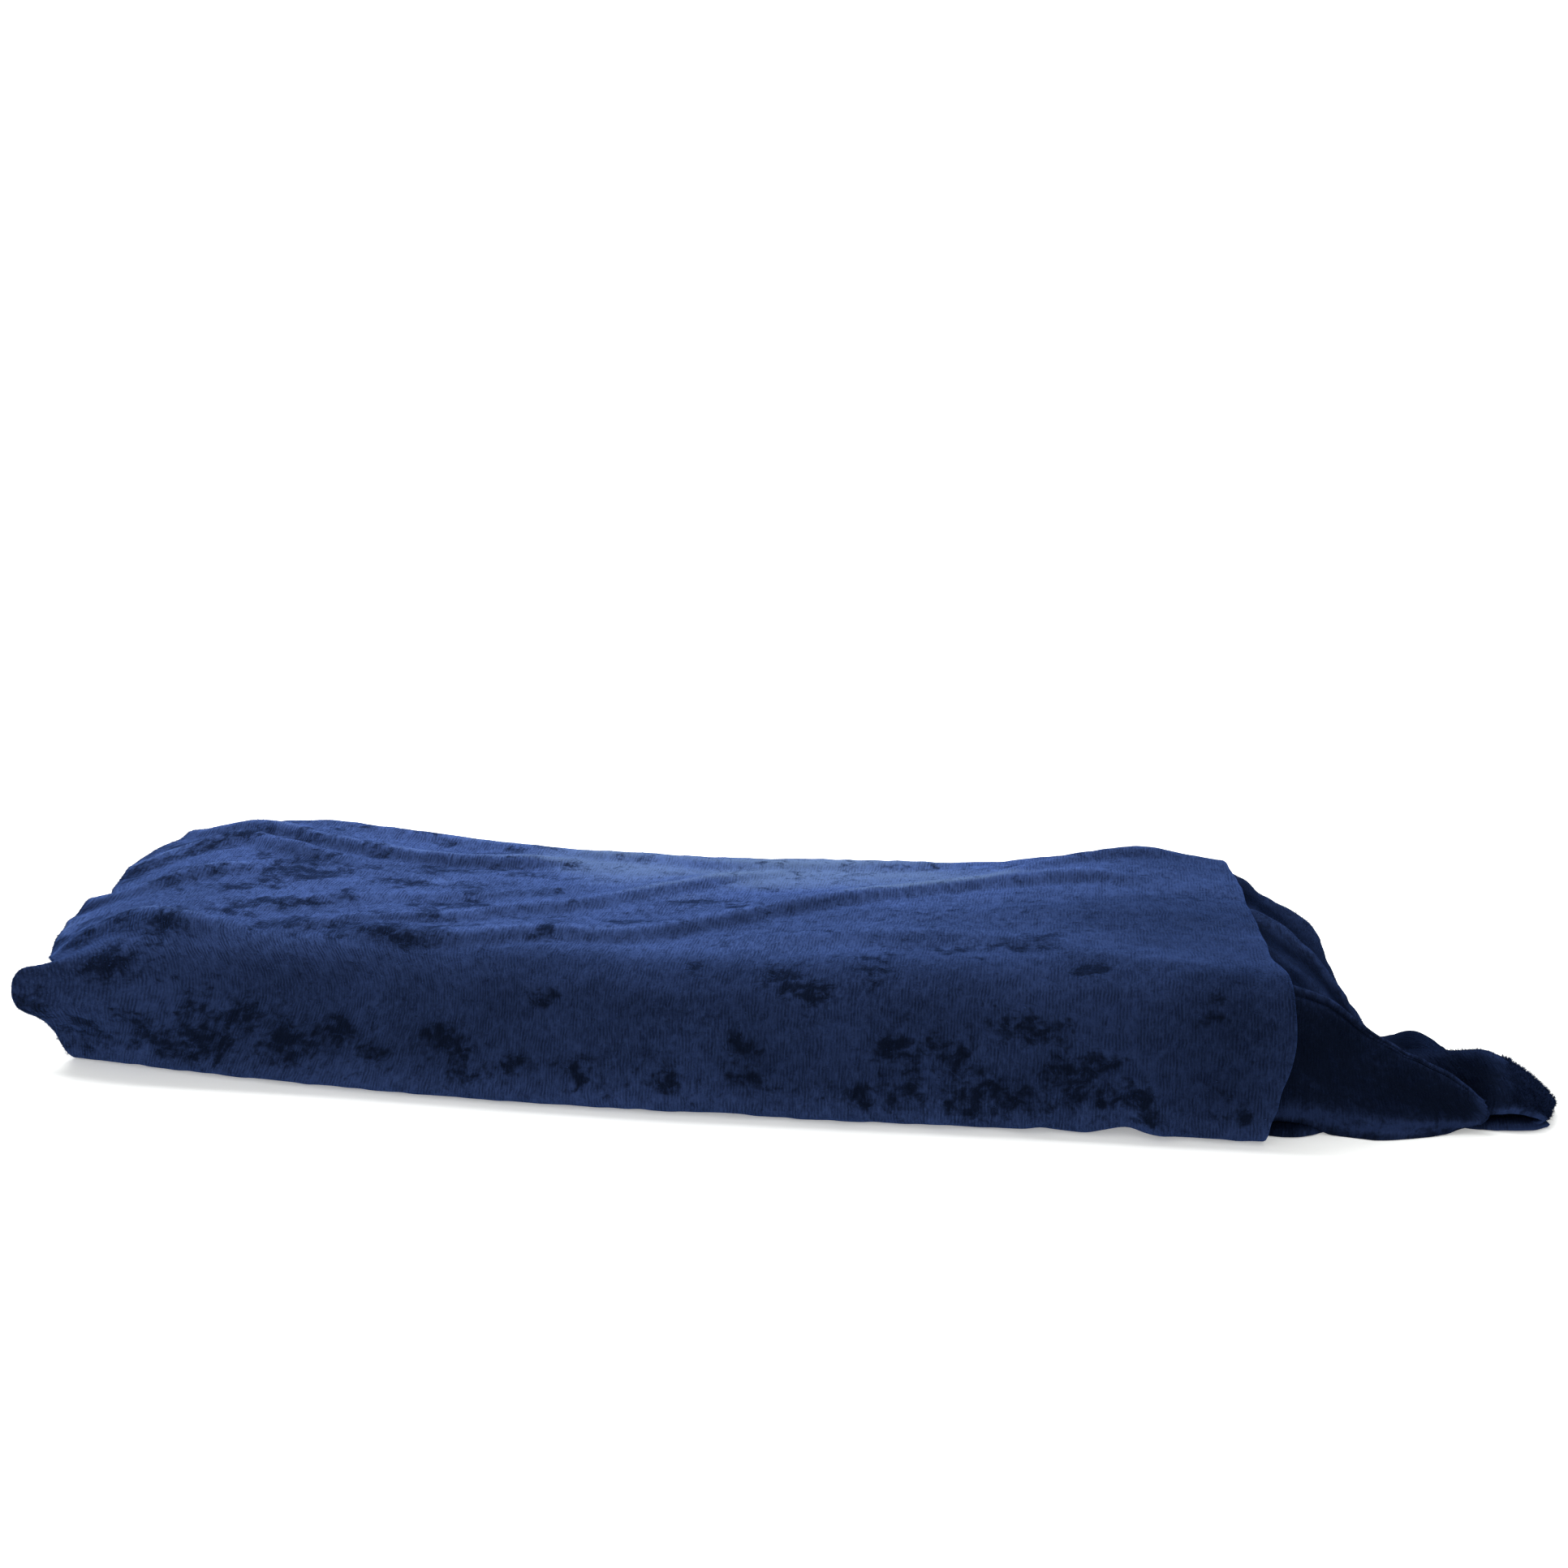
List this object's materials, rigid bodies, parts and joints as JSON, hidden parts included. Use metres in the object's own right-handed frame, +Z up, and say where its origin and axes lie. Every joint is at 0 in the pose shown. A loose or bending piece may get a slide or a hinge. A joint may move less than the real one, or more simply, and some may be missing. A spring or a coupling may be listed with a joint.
{
  "type": "fabric bolt",
  "caption": "Flat bolt of crushed velour folded double and wound on a cardboard bolt board, with loose layers at both ends.",
  "frame": {"origin": "under the middle of the whole bolt, on the surface that it lies on", "axes": "+X along the bolt towards the end where layers have slipped out, -Y towards the front, +Z up"},
  "size_m": [0.97, 0.274, 0.094],
  "materials": {
    "velour": "matte",
    "velour_ends": "matte",
    "board": "matte"
  },
  "bodies": {
    "winding": {"layers_below_board": "velour_ends", "layers_above_board": "velour_ends", "front_turn_bends": "velour_ends", "rear_turn_bends": "velour_ends", "last_turn_bottom": "velour", "last_turn_front": "velour", "last_turn_top": "velour", "near_ear": "velour", "middle_ear": "velour", "far_ear": "velour", "lower_lip": "velour"},
    "board": {"board_sleeve": "board", "board_webs": "board"},
    "left_flap": {"left_end_flap": "board"},
    "right_flap": {"right_end_flap": "board"},
    "tail": {"cut_end": "velour"},
    "slipped_layers": {"front_fold": "velour", "middle_fold": "velour", "rear_fold": "velour", "floor_lobe": "velour", "rear_lobe": "velour"}
  },
  "joints": [
    {"name": "board_slide", "type": "slide", "parent": "winding", "child": "board", "axis": [-1, 0, 0], "range_m": [0, 0.74]},
    {"name": "left_flap_fold", "type": "hinge", "parent": "board", "child": "left_flap", "pos_m": [-0.4153, 0, 0.053], "axis": [0, 1, 0], "range_deg": [0, 90]},
    {"name": "right_flap_fold", "type": "hinge", "parent": "board", "child": "right_flap", "pos_m": [0.2853, 0, 0.053], "axis": [0, -1, 0], "range_deg": [0, 90]},
    {"name": "cut_end_lift", "type": "hinge", "parent": "winding", "child": "tail", "pos_m": [-0.065, 0.103, 0.0943], "axis": [1, 0, 0], "range_deg": [0, 170]},
    {"name": "slipped_layers_lift", "type": "hinge", "parent": "winding", "child": "slipped_layers", "pos_m": [0.31, 0, 0.0925], "axis": [0, -1, 0], "range_deg": [0, 45]}
  ]
}
